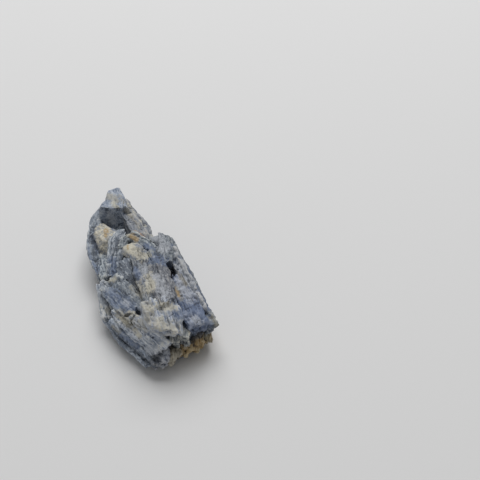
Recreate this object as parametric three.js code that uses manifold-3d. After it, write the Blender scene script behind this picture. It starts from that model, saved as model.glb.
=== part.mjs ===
// A cluster of kyanite blades lying on its side, with two books of mica at its broken end
// and quartz in the hollow behind its pointed end.
//
// Millimetres, +Z up. The blades run along Y: +Y is the pointed end and -Y the broken end.
// The origin is on the surface it rests on, under the middle of the cluster. In the lists
// below, heights count from the foot of the outer crystals, UNDERCUT above that surface.
//
// Each crystal is one solid. Crystals grew against each other, so each one is cut back
// by those that grew before it, and a parting of PARTING millimetres is left between them.

import * as THREE from "three";
import { mergeVertices } from "three/addons/utils/BufferGeometryUtils.js";
import Module from "manifold-3d";

const wasm = await Module();
wasm.setup();

// ---- driving dimensions -------------------------------------------------------------

const PARTING = 0.3; // between two crystals
const FINEST = 0.07; // no edge left by a cut is shorter
const MIDDLE = [-2.6, 3.8]; // the middle of the cluster, in the coordinates of the lists below
const UNDERCUT = 2.2; // how far the outer crystals stop above the surface, which only the base touches
const RINGS = 2; // steps along a straight lath
const REACH = 0.4; // the share of a blade's length over which its ends narrow
const LATH_OVERLAP = 1.3; // how far the laths of one blade run into each other
const EDGE_BEVEL = 0.24; // of a lath's half width or depth
const ROUGHNESS = 0.3; // how far a corner wanders

// Each blade: spine is the middle of its upper face from the far end to the near end, with
// a bend point between them where it is curved. depth is down from that face, and roll turns
// the face to the left (+) or right (-). It is a bundle of parallel laths joined in one
// crystal: step is how far they differ in height, and ragged how far in length.
// farTaper and nearTaper are the share of the width left at the ends, farSlant and nearSlant
// the slope of the broken ends across the width, and rake the slope of the near end in depth.
const BLADES = {
  tip_blade: {
    spine: [[1.4, 40.8, 10.8], [-2, 29.2, 13.8]],
    width: 8, depth: 10, roll: 4, laths: 1, step: 0.4, ragged: 0.4,
    farTaper: 0.5, nearTaper: 1, farSlant: -0.3, nearSlant: 0.1, rake: 0, reach: 1, seed: 3,
  },
  curved_blade: {
    spine: [[-1.6, 17.8, 12.6], [-6.2, 16.6, 14], [-11.4, 0.4, 8.8]],
    width: 5.2, depth: 7, roll: 12, laths: 3, step: 0.5, ragged: 1.5,
    farTaper: 0.7, nearTaper: 0.8, farSlant: 0.3, nearSlant: 0, rake: 0.1, rings: 4, seed: 5,
  },
  arched_lath: {
    spine: [[-5.2, 10.6, 12.8], [-0.6, 18.6, 13.6], [3.2, 4.4, 14.8]],
    width: 2.4, depth: 5, roll: 0, laths: 1, step: 0, ragged: 0.5,
    farTaper: 0.7, nearTaper: 1, farSlant: 0, nearSlant: 0, rake: 0, rings: 4, seed: 6,
  },
  right_shoulder_blade: {
    spine: [[2.4, 38, 10.4], [3.9, 6.2, 13.2]],
    width: 6.2, depth: 6.6, roll: -6, laths: 3, step: 0.7, ragged: 3,
    farTaper: 0.45, nearTaper: 0.8, farSlant: 0, nearSlant: 0.3, rake: 0.1, seed: 7,
  },
  knob_blade: {
    spine: [[7.2, 10.4, 15], [3.2, -6, 16.4]],
    width: 7, depth: 10, roll: 4, laths: 2, step: 0.9, ragged: 2,
    farTaper: 0.7, nearTaper: 0.75, farSlant: 0.5, nearSlant: 0.2, rake: 0.5, seed: 11,
  },
  left_block_blade: {
    spine: [[-13.6, 1.6, 9.4], [-9.4, -18.4, 12.2]],
    width: 8.4, depth: 6, roll: 26, laths: 3, step: 0.4, ragged: 2,
    farTaper: 0.75, nearTaper: 0.8, farSlant: 0.1, nearSlant: -0.4, rake: 0.1, seed: 13,
  },
  centre_blade: {
    spine: [[-3.4, -19.4, 17.2], [-4.2, -30.2, 13.6]],
    width: 10.6, depth: 8, roll: 6, laths: 3, step: 0.5, ragged: 1,
    farTaper: 0.9, nearTaper: 0.7, farSlant: 0.1, nearSlant: 0.55, rake: 0.2, seed: 17,
  },
  inner_right_blade: {
    spine: [[5.5, -10.5, 16.6], [6.4, -29.4, 11.8]],
    width: 7.4, depth: 6, roll: -4, laths: 2, step: 0.5, ragged: 0.8,
    farTaper: 0.42, nearTaper: 0.85, farSlant: 0, nearSlant: 0, rake: -0.1, reach: 0.8, seed: 19,
  },
  outer_right_blade: {
    spine: [[9.6, 8, 15.2], [11.6, -30, 9]],
    width: 2, depth: 8, roll: -26, laths: 2, step: 0.4, ragged: 1.5,
    farTaper: 0.8, nearTaper: 0.8, farSlant: 0, nearSlant: 0, rake: 0.2, seed: 23,
  },
  right_lath: {
    spine: [[8.2, 2, 16.4], [9.4, -27.5, 11.2]],
    width: 3.2, depth: 8, roll: -6, laths: 2, step: 0.5, ragged: 3,
    farTaper: 0.7, nearTaper: 0.7, farSlant: 0, nearSlant: 0, rake: 0.1, seed: 29,
  },
  upper_centre_blade: {
    spine: [[1.8, -3.5, 16.2], [-1, -22.8, 17.8]],
    width: 5.4, depth: 9, roll: 2, laths: 2, step: 0.6, ragged: 1,
    farTaper: 0.8, nearTaper: 0.9, farSlant: 0, nearSlant: 0, rake: 0.1, seed: 31,
  },
  ridge_blade: {
    spine: [[-1.6, 6.8, 14.4], [-4.2, -20.6, 17]],
    width: 6.6, depth: 9, roll: 10, laths: 3, step: 0.6, ragged: 2,
    farTaper: 0.7, nearTaper: 0.8, farSlant: -0.2, nearSlant: 0, rake: 0.1, seed: 37,
  },
  dark_wedge_blade: {
    spine: [[-7.2, 5.4, 12.6], [-6.6, -18, 12.8]],
    width: 7, depth: 6, roll: 16, laths: 3, step: 0.6, ragged: 2,
    farTaper: 0.8, nearTaper: 0.4, farSlant: 0, nearSlant: -0.3, rake: 0.1, seed: 41,
  },
  left_rim_blade: {
    spine: [[-2.2, 37.4, 9.8], [-14.2, 27.5, 9], [-14, 7.6, 5.8]],
    width: 3.2, depth: 6, roll: 14, laths: 2, step: 0.5, ragged: 2,
    farTaper: 0.5, nearTaper: 0.6, farSlant: 0, nearSlant: 0, rake: 0.1, rings: 3, seed: 43,
  },
  front_upper_lath: {
    spine: [[-12.4, -16, 11], [-4.2, -32, 9.2]],
    width: 3.6, depth: 4, roll: 26, laths: 2, step: 0.4, ragged: 2,
    farTaper: 0.6, nearTaper: 0.8, farSlant: 0, nearSlant: 0, rake: 0.1, seed: 47,
  },
  lower_left_lath_1: {
    spine: [[-16, -11, 7.8], [-8, -31.5, 6.8]],
    width: 3.2, depth: 4, roll: 34, laths: 2, step: 0.4, ragged: 2,
    farTaper: 0.6, nearTaper: 0.8, farSlant: 0, nearSlant: 0, rake: 0.1, seed: 53,
  },
  lower_left_lath_2: {
    spine: [[-17.2, -11.5, 5.2], [-10, -31, 4.4]],
    width: 2.8, depth: 4, roll: 40, laths: 1, step: 0.4, ragged: 2,
    farTaper: 0.6, nearTaper: 0.8, farSlant: 0, nearSlant: 0, rake: 0.1, seed: 59,
  },
  front_knob_blade: {
    spine: [[-7.6, -25, 6.2], [-7.6, -33.8, 5]],
    width: 6, depth: 5, roll: 6, laths: 2, step: 0.6, ragged: 1.2,
    farTaper: 0.8, nearTaper: 0.7, farSlant: 0, nearSlant: 0, rake: 0.2, seed: 61,
  },
  end_stub_blade: {
    spine: [[1.8, -21, 12.2], [-0.4, -31.4, 9.6]],
    width: 6, depth: 7, roll: 0, laths: 3, step: 1, ragged: 1.5,
    farTaper: 1, nearTaper: 0.8, farSlant: 0, nearSlant: 0.2, rake: 0.1, seed: 67,
  },
  left_foot_blade: {
    spine: [[-15, 3.5, 7], [-16.8, -11, 4.4]],
    width: 4, depth: 5, roll: 26, laths: 2, step: 0.7, ragged: 2,
    farTaper: 0.7, nearTaper: 0.7, farSlant: 0, nearSlant: 0, rake: 0.1, seed: 71,
  },
  lower_left_lath_3: {
    spine: [[-16.8, -6, 3], [-10, -30.4, 2.4]],
    width: 4.4, depth: 3, roll: 10, laths: 1, step: 0.3, ragged: 1,
    farTaper: 0.6, nearTaper: 0.7, farSlant: 0, nearSlant: 0, rake: 0.1, seed: 75,
  },
  terrace_blade: {
    spine: [[-3, 29, 6.4], [-7, 2, 7.8]],
    width: 12, depth: 4, roll: 4, laths: 1, step: 0.6, ragged: 2,
    farTaper: 0.6, nearTaper: 1, farSlant: 0, nearSlant: 0, rake: 0, seed: 79,
  },
  right_flank_blade: {
    spine: [[9.2, 8, 9], [11.4, -26, 6]],
    width: 4.6, depth: 7, roll: -24, laths: 2, step: 0.6, ragged: 3,
    farTaper: 0.5, nearTaper: 0.8, farSlant: 0, nearSlant: 0, rake: 0.1, seed: 83,
  },
  back_flank_blade: {
    spine: [[3.6, 31, 6], [7.4, 4, 7.6]],
    width: 5.2, depth: 6, roll: -16, laths: 2, step: 0.8, ragged: 3,
    farTaper: 0.5, nearTaper: 0.8, farSlant: 0, nearSlant: 0, rake: 0.1, seed: 87,
  },
  base_left_blade: {
    spine: [[-7.5, 22, 5], [-7.3, -27.5, 6]],
    width: 9, depth: 11, roll: 0, laths: 1, step: 0.3, ragged: 1,
    farTaper: 0.6, nearTaper: 0.55, farSlant: 0, nearSlant: 0.1, rake: 0, seed: 89,
  },
  base_middle_blade: {
    spine: [[0, 31, 6.4], [-1.2, -28.5, 7.6]],
    width: 6.4, depth: 12, roll: 0, laths: 1, step: 0.3, ragged: 1,
    farTaper: 0.6, nearTaper: 0.9, farSlant: 0, nearSlant: 0, rake: 0, seed: 97,
  },
  base_right_blade: {
    spine: [[5, 16, 6.4], [6.6, -19, 8.6]],
    width: 7, depth: 13, roll: 0, laths: 1, step: 0.3, ragged: 1,
    farTaper: 0.5, nearTaper: 1, farSlant: 0, nearSlant: 0, rake: 0, seed: 101,
  },
};

// Each lump of quartz: its middle, its half sizes, and its turn about Z.
const QUARTZ = {
  quartz_pocket: { at: [-7.4, 21, 7], half: [4.6, 7.6, 3.6], turn: 0.2, seed: 103 },
  quartz_seam: { at: [-2.6, 7, 12.8], half: [3.4, 3.8, 1.9], turn: 0.2, seed: 107 },
  quartz_fleck: { at: [0.9, 12.8, 12.2], half: [1.9, 3.4, 2.1], turn: 0.4, seed: 109 },
};

// Each mica book: the corner it fans from, how many sheets, the size of one, and the fan.
const MICA = {
  mica_book: {
    corner: [0, -30, 0], sheets: 6, thick: 1.7, long: 8, tall: 7.4,
    lean: -4, fan: 24, ragged: 0.8, seed: 113,
  },
  small_mica_book: {
    corner: [-4.4, -31.6, 0], sheets: 3, thick: 1.45, long: 5, tall: 3.8,
    lean: 6, fan: 14, ragged: 0.5, seed: 127,
  },
};

// Gaps between crystals that stay open: the middle, the half sizes and the turn about Z.
const HOLLOWS = {
  crevice: { at: [5, -8.8, 13], half: [1.5, 4.2, 6], turn: 0.1, seed: 131 },
  under_block: { at: [-11.9, -16.7, 9.7], half: [2.2, 0.8, 1.8], turn: -0.75, seed: 137 },
  front_pit: { at: [-8.4, -32, 5], half: [1.3, 2.2, 1.7], turn: 0, seed: 139 },
};

const COLOURS = {
  kyanite: { color: 0x6f7f9c, roughness: 0.55, metalness: 0 },
  quartz: { color: 0xbdb29a, roughness: 0.6, metalness: 0 },
  mica: { color: 0x7d6a42, roughness: 0.4, metalness: 0.1 },
};

// The crystals that reach down to the surface.
const BASE = ["base_left_blade", "base_middle_blade", "base_right_blade"];

// The order in which the crystals grew: each one is cut back by those before it.
const ORDER = [
  "tip_blade", "arched_lath", "curved_blade", "knob_blade", "left_block_blade",
  "inner_right_blade", "outer_right_blade", "right_lath", "centre_blade", "upper_centre_blade",
  "quartz_seam", "quartz_fleck", "right_shoulder_blade", "ridge_blade",
  "dark_wedge_blade", "left_rim_blade", "quartz_pocket", "front_upper_lath",
  "lower_left_lath_1", "lower_left_lath_2", "front_knob_blade", "end_stub_blade",
  "left_foot_blade", "lower_left_lath_3", "mica_book", "small_mica_book",
  "terrace_blade", "right_flank_blade", "back_flank_blade",
  ...BASE,
];

// ---- helpers ------------------------------------------------------------------------

// A repeatable stream of numbers from 0 to 1.
function randomStream(seed) {
  let state = seed * 2654435761;
  return () => {
    state = (state + 0x6d2b79f5) | 0;
    let mixed = Math.imul(state ^ (state >>> 15), 1 | state);
    mixed = (mixed + Math.imul(mixed ^ (mixed >>> 7), 61 | mixed)) ^ mixed;
    return ((mixed ^ (mixed >>> 14)) >>> 0) / 4294967296;
  };
}

const either = (random, size) => (random() * 2 - 1) * size;

function weld(geometry) {
  geometry.deleteAttribute("normal");
  geometry.deleteAttribute("uv");
  return mergeVertices(geometry, 1e-4);
}

function toSolid(geometry) {
  const vertProperties = new Float32Array(geometry.attributes.position.array);
  const triVerts = new Uint32Array(geometry.index.array);
  return new wasm.Manifold(new wasm.Mesh({ numProp: 3, vertProperties, triVerts }));
}

function toGeometry(solid) {
  const mesh = solid.getMesh();
  const geometry = new THREE.BufferGeometry();
  geometry.setAttribute("position", new THREE.BufferAttribute(mesh.vertProperties, 3));
  geometry.setIndex(new THREE.BufferAttribute(mesh.triVerts, 1));
  const faceted = geometry.toNonIndexed();
  faceted.computeVertexNormals();
  return faceted;
}

function moveVertices(geometry, place) {
  const position = geometry.attributes.position;
  const point = new THREE.Vector3();
  for (let i = 0; i < position.count; i++) {
    point.fromBufferAttribute(position, i);
    place(point, i);
    position.setXYZ(i, point.x, point.y, point.z);
  }
  return geometry;
}

// ---- blades -------------------------------------------------------------------------

// The section of a lath, with its upper face on the X axis and its two upper edges bevelled.
function lathSection(half, depth) {
  const bevel = EDGE_BEVEL * Math.min(half, depth / 2);
  const corners = [
    [half, -bevel], [half - bevel, 0], [bevel - half, 0], [-half, -bevel],
    [bevel - half, -depth], [half - bevel, -depth],
  ];
  return new THREE.Shape(corners.map(([x, y]) => new THREE.Vector2(x, y)));
}

// The share of the width at a given share of the length from an end.
function taper(atEnd, share, { reach = REACH }) {
  return Math.min(1, atEnd + ((1 - atEnd) * share) / reach);
}

function spineCurve(points) {
  const [a, b, c] = points.map((p) => new THREE.Vector3(...p));
  return c ? new THREE.QuadraticBezierCurve3(a, b, c) : new THREE.LineCurve3(a, b);
}

// One lath of a blade. from and to are the shares of the spine that it covers, offset is
// its middle across the blade, and grow makes it larger all round.
function lathSolid(blade, curve, { from, to, offset, lift, half, depth }, random, grow) {
  const section = lathSection(half + grow, depth + 2 * grow);
  const settings = { depth: 1, steps: blade.rings ?? RINGS, bevelEnabled: false };
  const lath = weld(new THREE.ExtrudeGeometry(section, settings));
  const up = new THREE.Vector3(0, 0, 1);
  moveVertices(lath, (point) => {
    const t = THREE.MathUtils.lerp(from, to, point.z);
    const inside = THREE.MathUtils.clamp(t, 0, 1);
    const along = curve.getTangent(inside);
    const side = new THREE.Vector3().crossVectors(up, along).normalize();
    const normal = new THREE.Vector3().crossVectors(along, side);
    side.applyAxisAngle(along, THREE.MathUtils.degToRad(blade.roll));
    normal.applyAxisAngle(along, THREE.MathUtils.degToRad(blade.roll));
    const width = taper(blade.farTaper, inside, blade) * taper(blade.nearTaper, 1 - inside, blade);
    const x = (point.x + offset) * width + either(random, ROUGHNESS);
    const y = point.y + grow + lift + either(random, ROUGHNESS);
    const slope = t < 0.5 ? blade.farSlant * x : blade.nearSlant * x + blade.rake * y;
    const end = point.z === 0 ? slope - grow : point.z === 1 ? slope + grow : 0;
    const beyond = (t - inside) * curve.getLength();
    point.copy(curve.getPoint(inside));
    point.addScaledVector(side, x);
    point.addScaledVector(normal, y);
    point.addScaledVector(along, end + beyond + either(random, ROUGHNESS));
  });
  return toSolid(lath);
}

function bladeSolid(blade, grow) {
  const random = randomStream(blade.seed);
  const curve = spineCurve(blade.spine);
  const length = curve.getLength();
  const pitch = blade.width / blade.laths;
  let joined = null;
  for (let i = 0; i < blade.laths; i++) {
    const lath = lathSolid(blade, curve, {
      from: (random() * blade.ragged) / length,
      to: 1 - (random() * blade.ragged) / length,
      offset: (i + 0.5) * pitch - blade.width / 2,
      lift: -random() * blade.step,
      half: (pitch / 2) * LATH_OVERLAP,
      depth: blade.depth * (0.85 + 0.15 * random()),
    }, random, grow);
    joined = joined ? joined.add(lath) : lath;
  }
  return joined;
}

// ---- quartz, hollows and mica ---------------------------------------------------------

function lumpSolid({ at, half, turn, seed }, grow) {
  const random = randomStream(seed);
  const lump = weld(new THREE.IcosahedronGeometry(1, 1));
  const size = new THREE.Vector3(...half).addScalar(grow);
  const middle = new THREE.Vector3(...at);
  moveVertices(lump, (point) => {
    point.multiplyScalar(1 + either(random, 0.14)).multiply(size);
    point.applyAxisAngle(new THREE.Vector3(0, 0, 1), turn).add(middle);
  });
  return toSolid(lump);
}

// One sheet of a mica book, standing on its lower edge in the YZ plane.
function sheetSolid(book, random, grow) {
  const { long, tall, thick, ragged } = book;
  const corners = [
    [0, 0], [0.02, 0.5], [0.08, 0.95], [0.5, 1.02], [0.95, 0.9], [1, 0.4], [0.9, 0],
  ];
  const outline = new THREE.Shape(corners.map(([y, z]) => {
    const wander = z > 0 ? ragged : ragged / 2;
    const out = new THREE.Vector2(Math.sign(y - 0.5), Math.sign(z - 0.5)).multiplyScalar(grow);
    return new THREE.Vector2(
      y * long + either(random, wander) + out.x,
      z * tall + either(random, wander / 2) + out.y,
    );
  }));
  const settings = { depth: thick * 1.15 + 2 * grow, steps: 1, bevelEnabled: false };
  const sheet = weld(new THREE.ExtrudeGeometry(outline, settings));
  // The outline's X becomes Y, its Y becomes Z, and the thickness runs along X.
  sheet.applyMatrix4(new THREE.Matrix4().makeBasis(
    new THREE.Vector3(0, 1, 0), new THREE.Vector3(0, 0, 1), new THREE.Vector3(1, 0, 0),
  ));
  sheet.translate(-grow, 0, 0);
  return sheet;
}

function bookSolid(book, grow) {
  const random = randomStream(book.seed);
  let joined = null;
  for (let i = 0; i < book.sheets; i++) {
    const share = i / (book.sheets - 1);
    const lean = THREE.MathUtils.degToRad(book.lean + book.fan * share);
    const sheet = sheetSolid(book, random, grow);
    sheet.rotateZ(-lean * 0.5);
    sheet.rotateY(lean * 0.6);
    sheet.translate(i * book.thick, 3 * share * share, 0);
    sheet.translate(...book.corner);
    const solid = toSolid(sheet);
    joined = joined ? joined.add(solid) : solid;
  }
  return joined;
}

// ---- assembly -------------------------------------------------------------------------

function crystal(name, grow) {
  if (BLADES[name]) return bladeSolid(BLADES[name], grow);
  if (QUARTZ[name]) return lumpSolid(QUARTZ[name], grow);
  return bookSolid(MICA[name], grow);
}

function slabBelow(level) {
  const slab = new THREE.BoxGeometry(200, 200, 40);
  slab.translate(0, 0, level - 20);
  return toSolid(weld(slab));
}

// The largest body without its slivers, because a cut can leave crumbs behind.
function largestBody(solid) {
  const bodies = solid.simplify(FINEST).decompose();
  return bodies.reduce((a, b) => (a.volume() > b.volume() ? a : b));
}

function finishOf(name) {
  const kind = QUARTZ[name] ? "quartz" : MICA[name] ? "mica" : "kyanite";
  return new THREE.MeshStandardMaterial({ ...COLOURS[kind], flatShading: true });
}

const cluster = new THREE.Group();
cluster.position.set(-MIDDLE[0], -MIDDLE[1], UNDERCUT);

const surface = slabBelow(-UNDERCUT);
const overhang = slabBelow(0);
const openings = Object.values(HOLLOWS).map((hollow) => lumpSolid(hollow, 0));
const grown = [];
for (const name of ORDER) {
  let solid = crystal(name, 0).subtract(BASE.includes(name) ? surface : overhang);
  for (const cutter of [...openings, ...grown]) solid = solid.subtract(cutter);
  const mesh = new THREE.Mesh(toGeometry(largestBody(solid)), finishOf(name));
  mesh.name = name;
  cluster.add(mesh);
  grown.push(crystal(name, PARTING).add(crystal(name, 0)));
}

export default cluster;
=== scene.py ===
import math
import bpy
import bmesh
import numpy as np
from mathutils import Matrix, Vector, noise
from mathutils.bvhtree import BVHTree


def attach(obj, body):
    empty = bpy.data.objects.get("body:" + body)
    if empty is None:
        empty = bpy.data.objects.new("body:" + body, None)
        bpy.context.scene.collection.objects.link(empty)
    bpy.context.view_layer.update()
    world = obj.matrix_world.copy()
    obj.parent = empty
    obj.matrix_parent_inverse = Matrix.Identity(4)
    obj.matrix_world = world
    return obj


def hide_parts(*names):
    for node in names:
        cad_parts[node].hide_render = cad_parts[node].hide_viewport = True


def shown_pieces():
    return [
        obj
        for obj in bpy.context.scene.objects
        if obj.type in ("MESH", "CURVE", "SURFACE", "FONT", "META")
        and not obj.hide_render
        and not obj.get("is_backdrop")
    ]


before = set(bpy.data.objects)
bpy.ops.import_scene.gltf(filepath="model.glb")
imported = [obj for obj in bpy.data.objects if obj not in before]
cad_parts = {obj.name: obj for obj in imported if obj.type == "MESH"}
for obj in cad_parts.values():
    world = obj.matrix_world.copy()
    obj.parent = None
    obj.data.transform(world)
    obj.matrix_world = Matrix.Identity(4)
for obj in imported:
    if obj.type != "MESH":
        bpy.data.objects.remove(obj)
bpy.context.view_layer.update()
noise.seed_set(3)  # the same uneven shapes on every run
print("frame loaded,", len(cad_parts), "crystals")


# small helpers: colours and shader nodes

def tint(red, green, blue):  # a colour as a screen shows it, 0 to 255
    return tuple(((c / 255 + 0.055) / 1.055) ** 2.4 for c in (red, green, blue)) + (1.0,)


def shaded(colour, tone):  # a colour times a red, green and blue tone
    return tuple(share * part for share, part in zip(tint(*colour), tone)) + (1.0,)


def newGroup(name, inputs, outputs):  # inputs are (label, kind, value), outputs (label, kind)
    group = bpy.data.node_groups.new(name, "ShaderNodeTree")
    for label, kind, value in inputs:
        socket = group.interface.new_socket(name=label, in_out="INPUT", socket_type="NodeSocket" + kind)
        if value is not None:
            socket.default_value = value
    for label, kind in outputs:
        group.interface.new_socket(name=label, in_out="OUTPUT", socket_type="NodeSocket" + kind)
    return group, group.nodes.new("NodeGroupInput").outputs, group.nodes.new("NodeGroupOutput").inputs


def feed(tree, socket, value):
    if isinstance(value, bpy.types.NodeSocket):
        tree.links.new(value, socket)
    else:
        socket.default_value = value


def sums(tree, operation, *values):
    node = tree.nodes.new("ShaderNodeMath")
    node.operation = operation
    for socket, value in zip(node.inputs, values):
        feed(tree, socket, value)
    return node.outputs[0]


def weighted(tree, *pairs):  # the sum of value * weight
    total = None
    for value, weight in pairs:
        part = sums(tree, "MULTIPLY", value, weight)
        total = part if total is None else sums(tree, "ADD", total, part)
    return total


def scaled(tree, vector, scale):
    node = tree.nodes.new("ShaderNodeVectorMath")
    node.operation = "MULTIPLY"
    feed(tree, node.inputs[0], vector)
    feed(tree, node.inputs[1], scale)
    return node.outputs[0]


def cloud(tree, vector, scale, detail, seed, rough=0.55, twist=0.0):  # noise, 0 to 1
    node = tree.nodes.new("ShaderNodeTexNoise")
    node.noise_dimensions = "4D"
    feed(tree, node.inputs["Vector"], vector)
    feed(tree, node.inputs["W"], seed)
    feed(tree, node.inputs["Scale"], scale)
    node.inputs["Detail"].default_value = detail
    node.inputs["Roughness"].default_value = rough
    node.inputs["Distortion"].default_value = twist
    return node.outputs[0]


def between(tree, value, low, high, top=1.0):  # 0 below low, top above high, smooth between
    node = tree.nodes.new("ShaderNodeMapRange")
    node.interpolation_type = "SMOOTHSTEP"
    feed(tree, node.inputs["Value"], value)
    feed(tree, node.inputs["From Min"], low)
    feed(tree, node.inputs["From Max"], high)
    feed(tree, node.inputs["To Max"], top)
    return node.outputs[0]


def blendColours(tree, factor, first, second, mode="MIX"):
    node = tree.nodes.new("ShaderNodeMix")
    node.data_type = "RGBA"
    node.blend_type = mode
    feed(tree, node.inputs[0], factor)
    feed(tree, node.inputs[6], first)
    feed(tree, node.inputs[7], second)
    return node.outputs[2]


def split(tree, vector):
    node = tree.nodes.new("ShaderNodeSeparateXYZ")
    feed(tree, node.inputs[0], vector)
    return node.outputs


def placed(tree, group, **values):  # a group node with its own values
    node = tree.nodes.new("ShaderNodeGroup")
    node.node_tree = group
    for label, value in values.items():
        feed(tree, node.inputs[label], value)
    return node.outputs


# shader groups

grainInputs = [("Grain", "Vector", None), ("Across", "Float", 1.0), ("Along", "Float", 0.1),
               ("Seed", "Float", 0.0)]
streaks, put, out = newGroup("Streaks", grainInputs, [("Value", "Float")])
combine = streaks.nodes.new("ShaderNodeCombineXYZ")
for socket, source in zip(combine.inputs, ("Across", "Along", "Across")):
    feed(streaks, socket, put[source])
stretched = scaled(streaks, put["Grain"], combine.outputs[0])
feed(streaks, out["Value"], cloud(streaks, stretched, 1.0, 4.0, put["Seed"]))

markInputs = [("Amount", "Float", 0.0), ("Place", "Vector", None), ("Grain", "Vector", None),
              ("Size", "Float", 0.8), ("Seed", "Float", 0.0)]
ragged, put, out = newGroup("Ragged mark", markInputs, [("Mask", "Float")])
breakUp = cloud(ragged, put["Place"], put["Size"], 6.0, put["Seed"], 0.72, 0.6)
strand = placed(ragged, streaks, Grain=put["Grain"], Across=1.8, Along=0.4, Seed=put["Seed"])["Value"]
inside = sums(ragged, "MINIMUM", sums(ragged, "MULTIPLY", put["Amount"], 4.0), 1.0)
broken = sums(ragged, "MULTIPLY", weighted(ragged, (breakUp, 2.6), (strand, 1.6), (0.5, -4.2)), inside)
feed(ragged, out["Mask"], between(ragged, sums(ragged, "ADD", put["Amount"], broken), 0.22, 0.95))


# the dark colour is painted shade for pits, grooves, gaps between blades and the places under overhanging
# blades; the other colours are stains
stainAndShadeColours = {
    "cream": tint(196, 191, 174), "rust": tint(168, 142, 98), "deep": tint(92, 108, 138),
    "pale": tint(186, 190, 197), "dark": tint(66, 73, 84), "tan": tint(160, 154, 136),
}
stainAndShadeInputs = [("Color", "Color", None), ("Warm", "Vector", None), ("Cool", "Vector", None),
               ("Place", "Vector", None), ("Grain", "Vector", None), ("Seed", "Float", 0.0)]
stainsAndShade, put, out = newGroup("Stains and shade", stainAndShadeInputs, [("Color", "Color")])
warm, cool = split(stainsAndShade, put["Warm"]), split(stainsAndShade, put["Cool"])
colour = put["Color"]
layers = [  # each kind of stain or painted shade (the dark kind is painted shade), its amount, and how fully it covers what is under it
    ("deep", warm[2], 0.7), ("pale", cool[0], 0.6), ("tan", cool[2], 0.6), ("cream", warm[0], 0.75),
    ("rust", warm[1], 0.8), ("dark", cool[1], 0.8),
]
for order, (kind, amount, share) in enumerate(layers):
    shift = sums(stainsAndShade, "ADD", put["Seed"], order * 3.7)
    mask = placed(stainsAndShade, ragged, Amount=amount, Place=put["Place"], Grain=put["Grain"], Size=1.1, Seed=shift)
    colour = blendColours(stainsAndShade, sums(stainsAndShade, "MULTIPLY", mask["Mask"], share), colour, stainAndShadeColours[kind])
feed(stainsAndShade, out["Color"], colour)


# what every skin reads from its mesh, and what it gives
skinInputs = [("Grain", "Vector", None), ("Place", "Vector", None), ("Relief", "Float", 0.0),
              ("Warm", "Vector", None), ("Cool", "Vector", None), ("Seed", "Float", 0.0)]
skinOutputs = [("Color", "Color"), ("Roughness", "Float"), ("Height", "Float")]
# groove is the colour of painted shade in grooves and where crystals meet; salt is the colour of painted glints
kyaniteDetail = {"hair": tint(188, 191, 196), "saltGlints": tint(196, 196, 192), "speck": tint(70, 76, 86),
                 "grooveShade": tint(56, 58, 62)}


def stainedAndShadedColour(group, put, colour):  # a skin's colour with the stains over it
    made = placed(group, stainsAndShade, Color=colour, Warm=put["Warm"], Cool=put["Cool"], Place=put["Place"],
                  Grain=put["Grain"], Seed=put["Seed"])
    return made["Color"]


def kyaniteSkin():
    own = [("Dark", "Color", None), ("Mid", "Color", None), ("Pale", "Color", None), ("Crust", "Color", None),
           ("Balance", "Float", 0.0), ("Veil", "Float", 0.3), ("Fibres", "Float", 0.3)]
    group, put, out = newGroup("Kyanite skin", skinInputs + own, skinOutputs)
    seed = put["Seed"]
    fineSeed, hairSeed = sums(group, "ADD", seed, 5.0), sums(group, "ADD", seed, 9.0)
    broad = placed(group, streaks, Grain=put["Grain"], Across=0.55, Along=0.09, Seed=seed)["Value"]
    fine = placed(group, streaks, Grain=put["Grain"], Across=1.5, Along=0.26, Seed=fineSeed)["Value"]
    hair = placed(group, streaks, Grain=put["Grain"], Across=3.6, Along=0.75, Seed=hairSeed)["Value"]
    blotch = cloud(group, put["Place"], 0.36, 7.0, 13.0, 0.66, 0.4)
    speck = cloud(group, put["Place"], 1.9, 4.0, 3.0, 0.72, 1.2)
    saltGlints = cloud(group, put["Place"], 2.7, 2.0, 21.0, 0.6)
    strands = sums(group, "MULTIPLY", weighted(group, (fine, 0.5), (hair, 0.5), (0.5, -1.0)), put["Fibres"])
    tone = weighted(group, (broad, 0.28), (fine, 0.28), (hair, 0.22), (blotch, 0.22), (put["Relief"], 0.08),
                    (put["Balance"], 1.0), (strands, 0.5))
    colour = blendColours(group, between(group, tone, 0.41, 0.51), put["Dark"], put["Mid"])
    colour = blendColours(group, between(group, tone, 0.50, 0.61), colour, put["Pale"])
    veilTone = weighted(group, (blotch, 0.4), (speck, 0.35), (fine, 0.25), (put["Relief"], 0.06))
    low = sums(group, "SUBTRACT", 0.66, sums(group, "MULTIPLY", put["Veil"], 0.26))
    veil = between(group, veilTone, low, sums(group, "ADD", low, 0.09), 0.85)
    colour = blendColours(group, veil, colour, put["Crust"])
    white = sums(group, "MULTIPLY", between(group, hair, 0.56, 0.66), put["Fibres"])
    colour = stainedAndShadedColour(group, put, blendColours(group, white, colour, kyaniteDetail["hair"]))
    # painted glints: small pale specks
    colour = blendColours(group, between(group, saltGlints, 0.60, 0.70, 0.4), colour, kyaniteDetail["saltGlints"])
    colour = blendColours(group, between(group, speck, 0.42, 0.32, 0.4), colour, kyaniteDetail["speck"])
    # painted shade: darker in grooves, creases and where crystals meet
    grooveShade = between(group, sums(group, "MULTIPLY", put["Relief"], -1.0), 0.3, 1.0, 0.6)
    colour = blendColours(group, grooveShade, colour, kyaniteDetail["grooveShade"])
    feed(group, out["Color"], colour)
    polish = between(group, tone, 0.35, 0.7)  # the paler, the smoother
    feed(group, out["Roughness"], weighted(group, (polish, -0.16), (speck, 0.2), (0.56, 1.0)))
    feed(group, out["Height"], weighted(group, (fine, 0.6), (hair, 0.55), (speck, 0.7), (blotch, 0.5)))
    return group


kyanite = kyaniteSkin()
print("shader groups made")


# stains and painted shade: where the cream, rust and colour patches and the dark patches of painted shade lie
# on the cluster, in millimetres
# each is a kind, the two ends of its line, and its radius

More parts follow.
